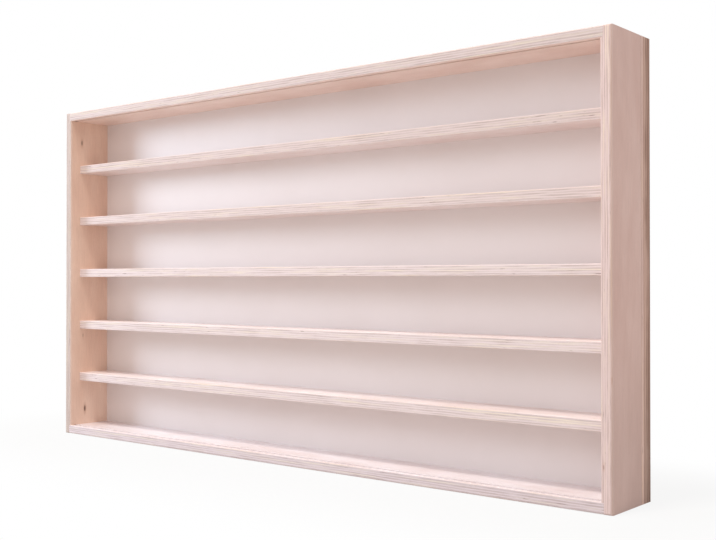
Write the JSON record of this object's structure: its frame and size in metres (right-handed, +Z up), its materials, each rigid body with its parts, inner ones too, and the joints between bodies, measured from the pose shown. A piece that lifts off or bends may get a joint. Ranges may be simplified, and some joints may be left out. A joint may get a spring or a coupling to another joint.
{
  "type": "wall display case",
  "caption": "Flat open-front plywood wall case with full-width fixed shelves, a white back panel, a groove for a clear front pane and a rear batten frame with keyhole hangers.",
  "frame": {"origin": "middle of the case's footprint, level with its underside", "axes": "+X along the case to the right as seen from the front, +Y from the front to the wall, +Z up"},
  "size_m": [0.9, 0.09, 0.486],
  "materials": {
    "birch_plywood": "bare sanded birch plywood with visible layers on its edges",
    "white_board": "matt white face on a thin plywood panel",
    "batten_wood": "planed brown solid wood with darker streaks",
    "dowel_wood": "fluted beech",
    "zinc_steel": "bright zinc plating"
  },
  "bodies": {
    "root": {"left_side": "birch_plywood", "right_side": "birch_plywood", "top_board": "birch_plywood", "bottom_board": "birch_plywood", "shelf_1": "birch_plywood", "shelf_2": "birch_plywood", "shelf_3": "birch_plywood", "shelf_4": "birch_plywood", "shelf_5": "birch_plywood", "back_panel": "white_board", "left_upright": "batten_wood", "right_upright": "batten_wood", "top_rail": "batten_wood", "bottom_rail": "batten_wood", "corner_dowels": "dowel_wood", "frame_screws": "zinc_steel", "shelf_screws": "zinc_steel", "hanger_screws": "zinc_steel", "left_hanger": "zinc_steel", "right_hanger": "zinc_steel"}
  },
  "joints": []
}
